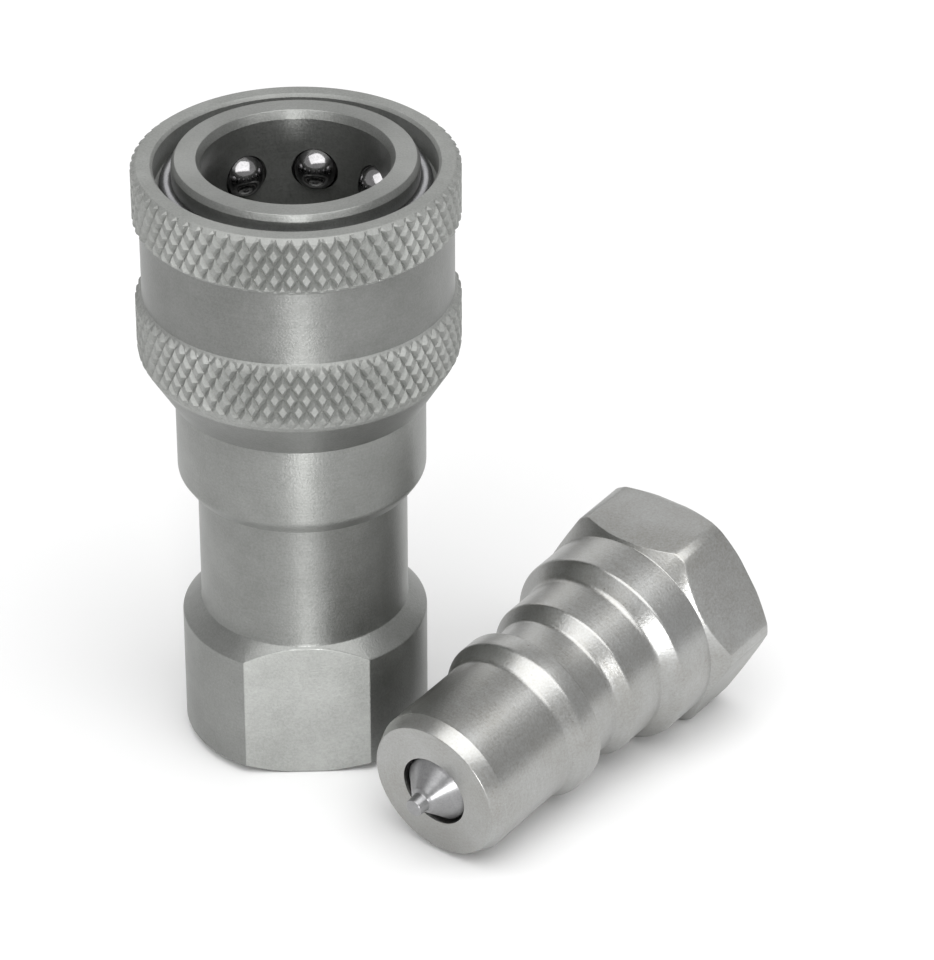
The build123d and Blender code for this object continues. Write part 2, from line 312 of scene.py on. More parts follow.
# turning marks run round the piece's own Z axis
def ringCoordinates(material, where, lineDensity, roundDensity):
    split = addNode(material, "ShaderNodeSeparateXYZ")
    link(material, where, split.inputs[0])
    x, y, z = split.outputs
    squareX = mathNode(material, "MULTIPLY", x, x)
    squareY = mathNode(material, "MULTIPLY", y, y)
    radius = mathNode(material, "SQRT", mathNode(material, "ADD", squareX, squareY))
    safeRadius = mathNode(material, "MAXIMUM", radius, 1e-5)
    unitX = mathNode(material, "DIVIDE", x, safeRadius)
    unitY = mathNode(material, "DIVIDE", y, safeRadius)
    along = mathNode(material, "ADD", z, mathNode(material, "MULTIPLY", radius, 0.83))
    merge = addNode(material, "ShaderNodeCombineXYZ")
    link(material, mathNode(material, "MULTIPLY", unitX, roundDensity), merge.inputs[0])
    link(material, mathNode(material, "MULTIPLY", unitY, roundDensity), merge.inputs[1])
    link(material, mathNode(material, "MULTIPLY", along, lineDensity), merge.inputs[2])
    return merge.outputs[0]


def noise(material, vector, scale, detail=3.0, roughness=0.6):
    node = addNode(material, "ShaderNodeTexNoise")
    node.inputs["Scale"].default_value = scale
    node.inputs["Detail"].default_value = detail
    node.inputs["Roughness"].default_value = roughness
    link(material, vector, node.inputs["Vector"])
    return node.outputs["Fac"]


def ramp(material, factor, stops):
    node = addNode(material, "ShaderNodeValToRGB")
    elements = node.color_ramp.elements
    for index, (place, colour) in enumerate(stops):
        element = elements[index] if index < 2 else elements.new(place)
        element.position = place
        element.color = (*colour, 1)
    link(material, factor, node.inputs["Fac"])
    return node.outputs["Color"]


def rangeNode(material, value, low, high):
    node = addNode(material, "ShaderNodeMapRange")
    node.inputs["From Min"].default_value = 0.3
    node.inputs["From Max"].default_value = 0.7
    node.inputs["To Min"].default_value = low
    node.inputs["To Max"].default_value = high
    link(material, value, node.inputs["Value"])
    return node.outputs["Result"]


flatMargin = 0.04  # the mask starts this far inside a flat


# 1 on the flats or knurled bands of a turned piece, 0 elsewhere
def areaMask(material, where, area):
    split = addNode(material, "ShaderNodeSeparateXYZ")
    link(material, where, split.inputs[0])
    x, y, z = split.outputs
    mask = 0
    for low, high in area["bands"]:
        above = mathNode(material, "GREATER_THAN", z, low * mm)
        below = mathNode(material, "LESS_THAN", z, high * mm)
        mask = mathNode(material, "ADD", mathNode(material, "MULTIPLY", above, below), mask)
    if area["flats"] == 0:
        return mask
    reach = mathNode(material, "ABSOLUTE", y)
    if area["flats"] == 6:
        sideways = mathNode(material, "ABSOLUTE", x)
        across = mathNode(material, "MULTIPLY", sideways, math.cos(math.radians(30)))
        half = mathNode(material, "MULTIPLY", reach, 0.5)
        reach = mathNode(material, "MAXIMUM", reach, mathNode(material, "ADD", across, half))
    outside = mathNode(material, "GREATER_THAN", reach, (area["width"] / 2 - flatMargin) * mm)
    return mathNode(material, "MULTIPLY", outside, mask)


def blend(material, mask, outside, inside):
    node = addNode(material, "ShaderNodeMix", data_type="FLOAT")
    link(material, mask, node.inputs[0])
    for socket, value in ((node.inputs[2], outside), (node.inputs[3], inside)):
        if isinstance(value, (int, float)):
            socket.default_value = value
        else:
            link(material, value, socket)
    return node.outputs[0]


def stretched(material, where, scale):
    node = addNode(material, "ShaderNodeMapping")
    node.inputs["Scale"].default_value = scale
    link(material, where, node.inputs["Vector"])
    return node.outputs[0]


def platedSteel(name, spec, area=None, place=upright):
    material = newMaterial(name)
    output = addNode(material, "ShaderNodeOutputMaterial")
    shader = addNode(material, "ShaderNodeBsdfPrincipled")
    link(material, shader.outputs[0], output.inputs[0])
    shader.inputs["Metallic"].default_value = spec["metallic"]
    where = ownCoordinates(material, place)
    rings = ringCoordinates(material, where, spec["lineDensity"], spec["roundDensity"])
    cloud = noise(material, where, spec["cloudScale"], 4.0, 0.65)
    grain = noise(material, where, spec["grainScale"], 2.0, 0.7)
    lines = noise(material, rings, 1.0, 3.0, 0.75)
    if area:
        mask = areaMask(material, where, area)
        milled = noise(material, stretched(material, where, area["marks"]), 1.0, 3.0, 0.7)
        lines = blend(material, mask, lines, milled)
        link(material, blend(material, mask, spec["streak"], 0.0), shader.inputs["Anisotropic"])
    else:
        shader.inputs["Anisotropic"].default_value = spec["streak"]
    if area or spec["streak"]:
        shader.inputs["Anisotropic Rotation"].default_value = 0.25
        link(material, toolDirection(material, place), shader.inputs["Tangent"])
    marks = mathNode(material, "ADD", mathNode(material, "MULTIPLY", grain, 0.4),
                     mathNode(material, "MULTIPLY", lines, 0.2))
    mixed = mathNode(material, "ADD", mathNode(material, "MULTIPLY", cloud, 0.4), marks)
    colour = ramp(material, mixed, [(0.38, spec["dark"]), (0.64, spec["light"]), (0.51, spec["middle"])])
    # painted light: inside the area mask the colour is scaled by the area's factor, which paints the
    # highlight on the socket's wrench flats, the shade on the nipple's hex flats and the dark groove
    # between the sleeve's knurled bands
    if area:
        shade = blend(material, mask, 1.0, area["shade"])
        scaled = addNode(material, "ShaderNodeVectorMath", operation="SCALE")
        link(material, colour, scaled.inputs[0])
        link(material, shade, scaled.inputs["Scale"])
        colour = scaled.outputs[0]
    link(material, colour, shader.inputs["Base Color"])
    roughMix = mathNode(material, "ADD", mathNode(material, "MULTIPLY", grain, 0.5),
                        mathNode(material, "MULTIPLY", lines, 0.5))
    rough = rangeNode(material, roughMix, spec["roughLow"], spec["roughHigh"])
    if area:
        areaRough = rangeNode(material, roughMix, area["roughLow"], area["roughHigh"])
        rough = blend(material, mask, rough, areaRough)
    link(material, rough, shader.inputs["Roughness"])
    grainBump = addNode(material, "ShaderNodeBump")
    grainBump.inputs["Strength"].default_value = spec["grainStrength"]
    grainBump.inputs["Distance"].default_value = spec["grainDepth"]
    link(material, grain, grainBump.inputs["Height"])
    lineBump = addNode(material, "ShaderNodeBump")
    lineBump.inputs["Strength"].default_value = spec["lineStrength"]
    lineBump.inputs["Distance"].default_value = spec["lineDepth"]
    link(material, lines, lineBump.inputs["Height"])
    link(material, grainBump.outputs[0], lineBump.inputs["Normal"])
    link(material, lineBump.outputs[0], shader.inputs["Normal"])
    return material


def softMaterial(name, spec):
    material = newMaterial(name)
    output = addNode(material, "ShaderNodeOutputMaterial")
    shader = addNode(material, "ShaderNodeBsdfPrincipled")
    link(material, shader.outputs[0], output.inputs[0])
    where = addNode(material, "ShaderNodeTexCoord").outputs["Object"]
    cloud = noise(material, where, spec["cloudScale"], 4.0, 0.6)
    grain = noise(material, where, spec["grainScale"], 2.0, 0.6)
    link(material, ramp(material, cloud, [(0.3, spec["dark"]), (0.7, spec["light"])]),
         shader.inputs["Base Color"])
    link(material, rangeNode(material, grain, spec["roughLow"], spec["roughHigh"]),
         shader.inputs["Roughness"])
    bump = addNode(material, "ShaderNodeBump")
    bump.inputs["Strength"].default_value = 0.3
    bump.inputs["Distance"].default_value = spec["grainDepth"]
    link(material, grain, bump.inputs["Height"])
    link(material, bump.outputs[0], shader.inputs["Normal"])
    return material


satinZinc = {
    "metallic": 1.0, "streak": 0.75,
    "dark": (0.235, 0.24, 0.23), "middle": (0.28, 0.285, 0.275), "light": (0.325, 0.33, 0.32),
    "lineDensity": 9000, "roundDensity": 1.4, "cloudScale": 160, "grainScale": 4200,
    "roughLow": 0.34, "roughHigh": 0.46,
    "grainStrength": 0.8, "grainDepth": 0.00003, "lineStrength": 0.2, "lineDepth": 0.00002,
}
# painted shade: the sleeve's plate is darker than the satin plate, so the groove between the knurled
# bands, which the band mask leaves out, stays dark
sleeveZincPaintedGrooveShade = dict(
    satinZinc, dark=(0.19, 0.194, 0.186), middle=(0.23, 0.234, 0.226), light=(0.27, 0.274, 0.266))
brightZinc = dict(
    satinZinc, streak=0.3,
    dark=(0.315, 0.31, 0.29), middle=(0.375, 0.375, 0.365), light=(0.435, 0.44, 0.435),
    roughLow=0.27, roughHigh=0.39, grainStrength=0.5, lineStrength=0.15, cloudScale=110)
turnedSteel = dict(
    satinZinc, dark=(0.27, 0.27, 0.27), middle=(0.32, 0.32, 0.325), light=(0.38, 0.38, 0.385),
    roughLow=0.3, roughHigh=0.42, grainStrength=0.15, lineStrength=0.4, lineDensity=7000)
ballSteel = dict(
    satinZinc, streak=0.0, dark=(0.24, 0.235, 0.24), middle=(0.30, 0.295, 0.30), light=(0.36, 0.35, 0.36),
    roughLow=0.08, roughHigh=0.16, grainStrength=0.08, lineStrength=0.0, cloudScale=600)
springWire = dict(
    satinZinc, streak=0.0, dark=(0.25, 0.25, 0.26), middle=(0.33, 0.33, 0.34), light=(0.42, 0.42, 0.43),
    roughLow=0.25, roughHigh=0.38, lineStrength=0.1)
# painted highlight: the plate's colour is scaled 1.35 times brighter on the two wrench flats
socketFlats = {
    "flats": 2, "width": 22.1, "bands": [(0.1, 15.4)], "marks": (900, 900, 2600),
    "roughLow": 0.52, "roughHigh": 0.64, "shade": 1.35,
}
# the knurled bands and the rim are lifted 1.5 times out of the darkened sleeve plate; the groove between
# them keeps the painted shade
knurledBands = {
    "flats": 0, "bands": [(44.6, 52.44), (60.45, 67.0)], "marks": (5200, 5200, 5200),
    "roughLow": 0.58, "roughHigh": 0.7, "shade": 1.5,
}
# painted shade: the plate's colour is scaled slightly darker, 0.98 times, on the hex flats
nippleFlats = {
    "flats": 6, "width": 22.3, "bands": [(-41.0, -33.0)], "marks": (2400, 2400, 2400),
    "roughLow": 0.42, "roughHigh": 0.56, "shade": 0.98,
}
guideBrass = dict(
    satinZinc, dark=(0.50, 0.36, 0.14), middle=(0.62, 0.47, 0.21), light=(0.72, 0.57, 0.30),
    roughLow=0.22, roughHigh=0.36)
nitrileRubber = {
    "dark": (0.012, 0.012, 0.012), "light": (0.03, 0.03, 0.03),
    "cloudScale": 300, "grainScale": 3000, "roughLow": 0.5, "roughHigh": 0.7, "grainDepth": 0.00002,
}
whitePlastic = {
    "dark": (0.70, 0.69, 0.66), "light": (0.80, 0.79, 0.77),
    "cloudScale": 200, "grainScale": 2500, "roughLow": 0.4, "roughHigh": 0.55, "grainDepth": 0.00001,
}

finishes = {
    "socket_zinc": platedSteel("satin zinc plate with painted flat highlight", satinZinc, socketFlats),
    "sleeve_zinc": platedSteel("knurled zinc plate with painted groove shade", sleeveZincPaintedGrooveShade, knurledBands),
    "nipple_zinc": platedSteel("bright zinc plate with painted flat shade", brightZinc, nippleFlats, nipplePlace),
    "turned_steel": platedSteel("turned steel", turnedSteel),
    "ball_steel": platedSteel("ball steel", ballSteel),
    "spring_steel": platedSteel("spring wire", springWire),
    "guide_brass": platedSteel("guide brass", guideBrass),
    "seal_rubber": softMaterial("nitrile rubber", nitrileRubber),
    "backup_plastic": softMaterial("white plastic", whitePlastic),
}
nipplePoppetFinish = platedSteel("turned steel of the nipple poppet", turnedSteel, None, nipplePlace)


def fit(piece, body, slotName, *replaced, finish=None):
    piece.data.materials.clear()
    piece.data.materials.append(finish or finishes[slotName])
    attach(piece, body)
    if replaced:
        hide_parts(*replaced)


print("finishes ready")


# socket body: nose, ball cage and bore

valveFace = 42.4  # height of the socket's valve face
socketBody = {
    "noseTop": 67.15, "noseRadius": 12.43, "mouthRadius": 9.5,
    "ringGroove": (64.95, 63.65), "ringGrooveRadius": 12.06,
    "cageBottom": 57.5, "springNeckRadius": 11.3, "collarTop": 44.4,
    "threadRadius": 10.9, "threadBottom": 34.0, "pilotRadius": 9.0, "pilotBottom": 30.0,
    "sealGroove": (32.8, 31.2), "sealGrooveRadius": 7.55,
    "chamberRadius": 6.6, "seatRadius": 6.4, "valveHoleRadius": 3.9, "valveHoleBottom": 41.3,
    "sealingBoreRadius": 8.3, "boreGroove": (47.4, 50.86), "boreGrooveRadius": 10.32,
    "sealingBoreTop": 54.2, "mouthFloor": 55.4,
    "rowStep": 0.6,            # between the rows of points that keep the ball holes smooth
    "ballHeight": 60.6, "ballCount": 8, "firstBall": math.radians(78),
    "ballCircle": 10.2, "ballRadius": 2.38,
    "holeInner": 2.31, "holeOuter": 2.45, "holeFlare": 0.12,
    "holeStart": 7.0, "holeSeat": (9.15, 9.5, 9.95), "holeEnd": 14,
}


def makeSocketBody():
    spec = socketBody
    bore = spec["mouthRadius"]
    nose = spec["noseRadius"]
    collar, seal, pilot = spec["collarTop"], spec["sealingBoreRadius"], spec["pilotRadius"]
    chamber, hole = spec["chamberRadius"], spec["valveHoleRadius"]
    grooveTop, grooveBottom = spec["ringGroove"]
    groove = spec["ringGrooveRadius"]
    sealTop, sealBottom = spec["sealGroove"]
    boreBottom, boreTop = spec["boreGroove"]
    # the nose and its groove for the retaining ring
    corners = [
        (bore + 0.45, spec["noseTop"], 0.12), (nose - 0.35, spec["noseTop"], 0.14), (nose, 66.5, 0.16),
        (nose, grooveTop, 0.08), (groove, grooveTop - 0.35, 0.2), (groove, grooveBottom + 0.35, 0.2),
        (nose, grooveBottom, 0.08),
    ]
    corners += [(nose, 58.6 + spec["rowStep"] * step) for step in reversed(range(8))]
    # down the outside, under the sleeve and into the adapter
    corners += [
        (nose, spec["cageBottom"]), (spec["springNeckRadius"], spec["cageBottom"]),
        (spec["springNeckRadius"], collar), (spec["threadRadius"], collar),
        (spec["threadRadius"], spec["threadBottom"]), (pilot, spec["threadBottom"]),
        (pilot, sealTop), (spec["sealGrooveRadius"], sealTop),
        (spec["sealGrooveRadius"], sealBottom), (pilot, sealBottom), (pilot, spec["pilotBottom"]),
    ]
    # up the inside, through the valve seat and the bore seal's groove
    corners += [
        (chamber, spec["pilotBottom"]), (chamber, 38.8), (spec["seatRadius"], 38.8),
        (hole, spec["valveHoleBottom"], 0.08), (hole, valveFace, 0.1), (seal, valveFace, 0.1),
        (seal, boreBottom), (spec["boreGrooveRadius"], boreBottom),
        (spec["boreGrooveRadius"], boreTop), (seal, boreTop, 0.06),
        (seal, spec["sealingBoreTop"], 0.2), (bore, spec["mouthFloor"], 0.2),
    ]
    corners += [(bore, 57.6 + spec["rowStep"] * step) for step in range(11)]
    corners += [(bore, 66.3, 0.12)]
    piece = turnedPiece("socket_body_turned", corners, 240)
    inner, outer = spec["holeInner"], spec["holeOuter"]
    start, end = spec["holeStart"], spec["holeEnd"]
    flare, seat, wall = spec["holeSeat"]
    work = bmesh.new()
    for number in range(spec["ballCount"]):
        before = len(work.verts)
        outline = [
            (0, start), (inner + spec["holeFlare"], start), (inner + spec["holeFlare"], flare),
            (inner, seat), (outer, wall), (outer, end), (0, end),
        ]
        spinInto(work, outline, evenAngles(64), closed=False)
        work.verts.ensure_lookup_table()
        angle = spec["firstBall"] + fullTurn * number / spec["ballCount"]
        turn = Matrix.Rotation(angle, 4, "Z") @ Matrix.Rotation(math.radians(90), 4, "Y")
        place = Matrix.Translation((0, 0, spec["ballHeight"] * mm)) @ turn
        bmesh.ops.transform(work, matrix=place, verts=work.verts[before:])
    tool = finishMesh(work, "ball_hole_tool")
    cutWith(piece, tool)
    return piece


fit(makeSocketBody(), "socket", "socket_zinc", "socket_body")


def makeBall(name):
    work = bmesh.new()
    bmesh.ops.create_cube(work, size=1)
    bmesh.ops.subdivide_edges(work, edges=work.edges, cuts=15, use_grid_fill=True)
    for vertex in work.verts:
        vertex.co = vertex.co.normalized() * socketBody["ballRadius"] * mm
    return finishMesh(work, name)


for number in range(socketBody["ballCount"]):
    ball = makeBall(f"ball_{number + 1}_polished")
    angle = socketBody["firstBall"] + fullTurn * number / socketBody["ballCount"]
    circle = socketBody["ballCircle"] * mm
    ball.location = (circle * math.cos(angle), circle * math.sin(angle), socketBody["ballHeight"] * mm)
    fit(ball, f"ball_{number + 1}", "ball_steel", f"lock_ball_{number + 1}")
print("socket body and balls made")


# socket adapter: collar, neck and flatted foot

socketAdapter = {
    "footRadius": 12.82, "flatsWidth": 22.1,
    "bottomRadius": 11.2, "bottomRise": 0.9,
    "coneTop": 15.55, "coneTopRadius": 11.08, "coneBottom": 13.95,
    "neckRadius": 10.83, "collarRadius": 12.85, "collarBottom": 30.2, "collarTop": 44.4,
    "threadRadius": 10.95, "threadBottom": 33.8, "pilotRadius": 9.05, "pilotBottom": 29.7,
    "chamberRadius": 7.0, "guideSeat": 18.4, "boreRadius": 6.2, "boreBottom": 14.5,
    "portEnd": (7.4, 13.6), "portRunout": (7.42, 12.0), "mouthChamfer": (8.75, 0.45),
    "edge": 0.12,
}


# more steps close to the four corners of the two flats
def flattedAngles():
    spec = socketAdapter
    corner = math.degrees(math.acos(spec["flatsWidth"] / 2 / spec["footRadius"]))
    offsets = [step * corner / 12 for step in range(12)]
    offsets += [corner + step for step in (-1.2, -0.6, -0.3, 0, 0.3, 0.6, 1.2)]
    offsets += [corner + 2.5 + step * (87.5 - corner) / 26 for step in range(27)]
    angles = set()
    for middle in (90, 270):
        for offset in offsets:
            angles.add(round((middle + offset) % 360, 4))
            angles.add(round((middle - offset) % 360, 4))
    return [math.radians(angle) for angle in sorted(angles)]


def makeSocketAdapter():
    spec = socketAdapter
    edge = spec["edge"]
    slope = (spec["coneTop"] - spec["coneBottom"]) / (spec["footRadius"] - spec["coneTopRadius"])

    def wall(angle, inset=0):
        flat = (spec["flatsWidth"] / 2 - inset) / max(abs(math.sin(angle)), 0.1)
        return min(spec["footRadius"] - inset, flat)

    def bottomHeight(radius):
        rise = spec["bottomRise"] / (spec["footRadius"] - spec["bottomRadius"])
        return max(0, (radius - spec["bottomRadius"]) * rise)

    def coneHeight(radius):
        return spec["coneTop"] - (radius - spec["coneTopRadius"]) * slope

    def bottomInner(angle):
        return min(wall(angle, edge), spec["bottomRadius"] - edge), 0

    def bottomOuter(angle):
        radius = wall(angle, edge)
        return radius, bottomHeight(radius) + 0.005

    def wallFoot(angle):
        radius = wall(angle)
        return radius, bottomHeight(radius) + edge

    def wallTop(angle):
        radius = wall(angle)
        return radius, coneHeight(radius) - edge

    def wallEdge(angle):
        radius = wall(angle, edge * 0.25)
        return radius, coneHeight(radius) - edge * 0.25

    def coneStart(angle):
        radius = wall(angle, edge)
        return radius, coneHeight(radius) - 0.005

    upper = roundedProfile([
        (spec["coneTopRadius"] + 0.02, spec["coneTop"] - 0.02),
        (spec["neckRadius"] + 0.02, spec["coneTop"] + 0.16, 0.16),
        (spec["neckRadius"], spec["coneTop"] + 0.4, 0.1),
        (spec["neckRadius"], spec["collarBottom"] + 0.3, 0.12),
        (spec["neckRadius"] + 0.3, spec["collarBottom"], 0.12),
        (spec["collarRadius"] - 0.95, spec["collarBottom"] + 0.1, 0.4),
        (spec["collarRadius"] - 0.02, spec["collarBottom"] + 1.5, 1.2),
        (spec["collarRadius"], spec["collarTop"], 0.2),
        (spec["threadRadius"], spec["collarTop"]), (spec["threadRadius"], spec["threadBottom"]),
        (spec["pilotRadius"], spec["threadBottom"]), (spec["pilotRadius"], spec["pilotBottom"]),
        (spec["chamberRadius"], spec["pilotBottom"]), (spec["chamberRadius"], spec["guideSeat"]),
        (spec["boreRadius"], spec["guideSeat"]), (spec["boreRadius"], spec["boreBottom"], 0.1),
        spec["portEnd"], spec["portRunout"],
    ], closed=False)
    mouth, chamfer = spec["mouthChamfer"]
    rings = [(mouth, 0.0), bottomInner, bottomOuter, wallFoot, wallTop, wallEdge, coneStart]
    rings += upper
    rings += list(reversed(threadRings(0, 1)))
    rings += [(mouth - chamfer, chamfer)]
    work = bmesh.new()
    spinInto(work, rings, flattedAngles())
    return finishMesh(work, "socket_adapter_turned")


fit(makeSocketAdapter(), "socket", "socket_zinc", "socket_adapter")
print("socket adapter made")


# knurled sleeve

sleeve = {
    "radius": 16.5, "knurlCount": 66, "knurlHeight": 2.7, "knurlDepth": 0.4,
    "grooveShare": 0.26, "coreRadius": 16.04,
    "grooveRadius": 15.83, "grooveBottom": 52.45, "grooveTop": 60.4,
    "bottom": 40.6, "top": 66.65, "boreRadius": 12.95, "lipRadius": 13.25,
    "rimOuter": 15.91, "rimInner": 14.52, "counterbore": 14.24, "counterboreFloor": 63.7,
    "landRadius": 12.5, "flangeRadius": 11.5, "flange": (55.2, 57.2),
    "upperKnurl": (60.52, 66.56), "lowerKnurl": (45.1, 52.25), "lowerPhase": 0.35,
    "upperBand": [(60.4, 15.83), (61.0, 16.5), (66.2, 16.5), (66.65, 15.91)],
    "lowerBand": [(44.7, 15.77), (45.8, 16.38), (46.5, 16.5), (51.65, 16.5), (52.45, 15.83)],
}


def bandRadius(points, height):
    if height <= points[0][0]:
        return points[0][1]
    for (low, first), (high, last) in zip(points, points[1:]):
        if height <= high:
            return first + (last - first) * (height - low) / (high - low)
    return points[-1][1]


def knurledBand(work, band, bottom, top, phase):
    spec = sleeve
    share = spec["grooveShare"]
    samples = (0, share, 1 - share)
    around = 3 * spec["knurlCount"]
    middle = (bottom + top) / 2
    made = {}

    def vertexAt(first, second):
        shift = (first // around) * around
        key = (first - shift, second - shift)
        if key in made:
            return made[key]
        a = first // 3 + samples[first % 3]
        b = second // 3 + samples[second % 3]
        low = first % 3 == 0 or second % 3 == 0
        radius = spec["radius"] - (spec["knurlDepth"] if low else 0)
        angle = fullTurn * ((a + b) / 2 + phase) / spec["knurlCount"]
        height = middle + spec["knurlHeight"] * (a - b) / 2
        made[key] = work.verts.new((
            radius * math.cos(angle) * mm, radius * math.sin(angle) * mm, height * mm))
        return made[key]

    reach = int((top - bottom) / spec["knurlHeight"]) + 2
    for offset in range(-reach, reach + 1):
        for cell in range(spec["knurlCount"]):
            left = 3 * cell
            right = 3 * (cell - offset)
            for i in range(3):
                for j in range(3):
                    near = vertexAt(left + i, right + j)
                    across = vertexAt(left + i + 1, right + j)
                    far = vertexAt(left + i + 1, right + j + 1)
                    beside = vertexAt(left + i, right + j + 1)
                    if i != 1 and j != 1 and i == j:
                        work.faces.new((near, across, far))
                        work.faces.new((near, far, beside))
                    elif i != 1 and j != 1:
                        work.faces.new((near, across, beside))
                        work.faces.new((across, far, beside))
                    else:
                        work.faces.new((near, across, far, beside))

    levels = [height for height, radius in band if bottom < height < top]
    trims = [(bottom, True, False), (top, False, True)] + [(level, False, False) for level in levels]
    for level, dropBelow, dropAbove in trims:
        bmesh.ops.bisect_plane(
            work, geom=work.verts[:] + work.edges[:] + work.faces[:], dist=1e-9,
            plane_co=(0, 0, level * mm), plane_no=(0, 0, 1),
            clear_inner=dropBelow, clear_outer=dropAbove)
    for vertex in work.verts:
        radius = math.hypot(vertex.co.x, vertex.co.y) / mm
        allowed = bandRadius(band, vertex.co.z / mm)
        if radius > allowed:
            vertex.co.x *= allowed / radius
            vertex.co.y *= allowed / radius
    borders = [edge for edge in work.edges if len(edge.link_faces) == 1]
    grown = bmesh.ops.extrude_edge_only(work, edges=borders)["geom"]
    inner = [item for item in grown if isinstance(item, bmesh.types.BMVert)]
    for vertex in inner:
        radius = math.hypot(vertex.co.x, vertex.co.y) / mm
        vertex.co.x *= (spec["coreRadius"] - 0.5) / radius
        vertex.co.y *= (spec["coreRadius"] - 0.5) / radius
    rims = [edge for edge in work.edges if len(edge.link_faces) == 1]
    bmesh.ops.bridge_loops(work, edges=rims)


def makeSleeve():
    spec = sleeve
    core = spec["coreRadius"]
    groove, top = spec["grooveRadius"], spec["top"]
    recess, floor = spec["counterbore"], spec["counterboreFloor"]
    flangeBottom, flangeTop = spec["flange"]
    corners = [
        (spec["boreRadius"], spec["bottom"], 0.04), (spec["lipRadius"], spec["bottom"], 0.08),
        (core, 45.17), (core, 52.19), (groove, spec["grooveBottom"], 0.1),
        (groove, spec["grooveTop"], 0.1), (core, 60.57), (core, 66.55),
        (spec["rimOuter"], top, 0.1), (spec["rimInner"], top, 0.1), (recess, 66.3, 0.1),
        (recess, floor, 0.1), (13.46, floor, 0.06), (spec["landRadius"], 59.87),
        (spec["landRadius"], flangeTop), (spec["flangeRadius"], flangeTop),
        (spec["flangeRadius"], flangeBottom), (spec["boreRadius"], flangeBottom),
    ]
    work = bmesh.new()
    spinInto(work, roundedProfile(corners), evenAngles(216))
    bmesh.ops.recalc_face_normals(work, faces=work.faces)
    for band, knurl, phase in (
            (spec["upperBand"], spec["upperKnurl"], 0.0),
            (spec["lowerBand"], spec["lowerKnurl"], spec["lowerPhase"])):
        bottom, top = knurl
        part = bmesh.new()
        knurledBand(part, band, bottom, top, phase)
        bmesh.ops.recalc_face_normals(part, faces=part.faces)
        mesh = bpy.data.meshes.new("band")
        part.to_mesh(mesh)
        part.free()
        work.from_mesh(mesh)
        bpy.data.meshes.remove(mesh)
    return finishMesh(work, "lock_sleeve_knurled", 20)


fit(makeSleeve(), "sleeve", "sleeve_zinc", "lock_sleeve")
print("sleeve made")


# round wire along places of (radius, angle, height), with both ends closed
def roundWire(work, places, wire, sides):
    loops = []
    for circle, angle, middle in places:
        loop = []
        for side in range(sides):
            turn = fullTurn * side / sides
            radius = circle + wire / 2 * math.cos(turn)
            height = middle + wire / 2 * math.sin(turn)
            loop.append(work.verts.new((
                radius * math.cos(angle) * mm, radius * math.sin(angle) * mm, height * mm)))
        loops.append(loop)
    for near, far in zip(loops, loops[1:]):
        for side in range(sides):
            after = (side + 1) % sides
            work.faces.new((near[side], near[after], far[after], far[side]))
    work.faces.new(loops[0])
    work.faces.new(loops[-1])


retainingRing = {
    "circle": 12.9, "wire": 1.6, "height": 64.3, "gapCentre": 100, "gapAngle": 16,
    "steps": 200, "sides": 20,
}


def makeRetainingRing():
    spec = retainingRing
    half = spec["gapAngle"] / 2
    first = math.radians(spec["gapCentre"] + half)
    last = math.radians(spec["gapCentre"] - half + 360)
    places = []
    for step in range(spec["steps"] + 1):
        angle = first + (last - first) * step / spec["steps"]
        places.append((spec["circle"], angle, spec["height"]))
    work = bmesh.new()
    roundWire(work, places, spec["wire"], spec["sides"])
    return finishMesh(work, "retaining_ring_wire")


fit(makeRetainingRing(), "socket", "spring_steel", "retaining_ring")


# poppets, drawn with the valve face at height 0

poppet = {"pinRadius": 1.0, "reach": 3.3, "pinRoot": 1.9}


def makePoppet(name):
    spec = poppet
    corners = [
        (0, spec["reach"]),
        (spec["pinRadius"] - 0.05, spec["reach"], 0.12),
        (spec["pinRadius"] + 0.05, spec["pinRoot"] + 0.1, 0.15),
        (1.42, spec["pinRoot"] - 0.1, 0.15),
        (3.2, -0.15, 0.2), (3.6, -0.5, 0.1), (3.6, -1.2, 0.1),
        (5.0, -2.5), (4.15, -2.5), (4.15, -4.2), (5.6, -4.2, 0.1), (5.6, -5.6, 0.1),
        (1.75, -5.6), (1.75, -26.5, 0.2), (0, -26.5),
    ]
    return turnedPiece(name, corners, 96, closed=False)


# nipple

nippleBody = {
    "hexWidth": 22.3, "cornerRadius": 12.5, "length": 41.3,
    "shoulderRadius": 10.88, "hexStart": 32.7, "frontSlope": 0.85,
    "rearRadius": 11.3, "rearSlope": 0.58,
    "faceRadius": 7.5, "probeRadius": 8.19, "probeStart": 1.68, "probeEnd": 11.86,
    "ridgeRadius": 9.2, "ridgeFront": 13.75, "ridgeRear": 15.9,
    "ballGrooveRadius": 8.0, "ballGroove": (16.35, 20.2),
    "bodyFront": 21.75, "bodyRear": 26.5, "shoulderFront": 28.0,
    "valveHoleRadius": 3.9, "valveHoleEnd": 1.1, "seatRadius": 6.4, "seatEnd": 3.6,
    "chamberRadius": 6.6, "guideSeat": 22.0, "guideRadius": 7.0, "mouthChamfer": (8.75, 0.45),
}


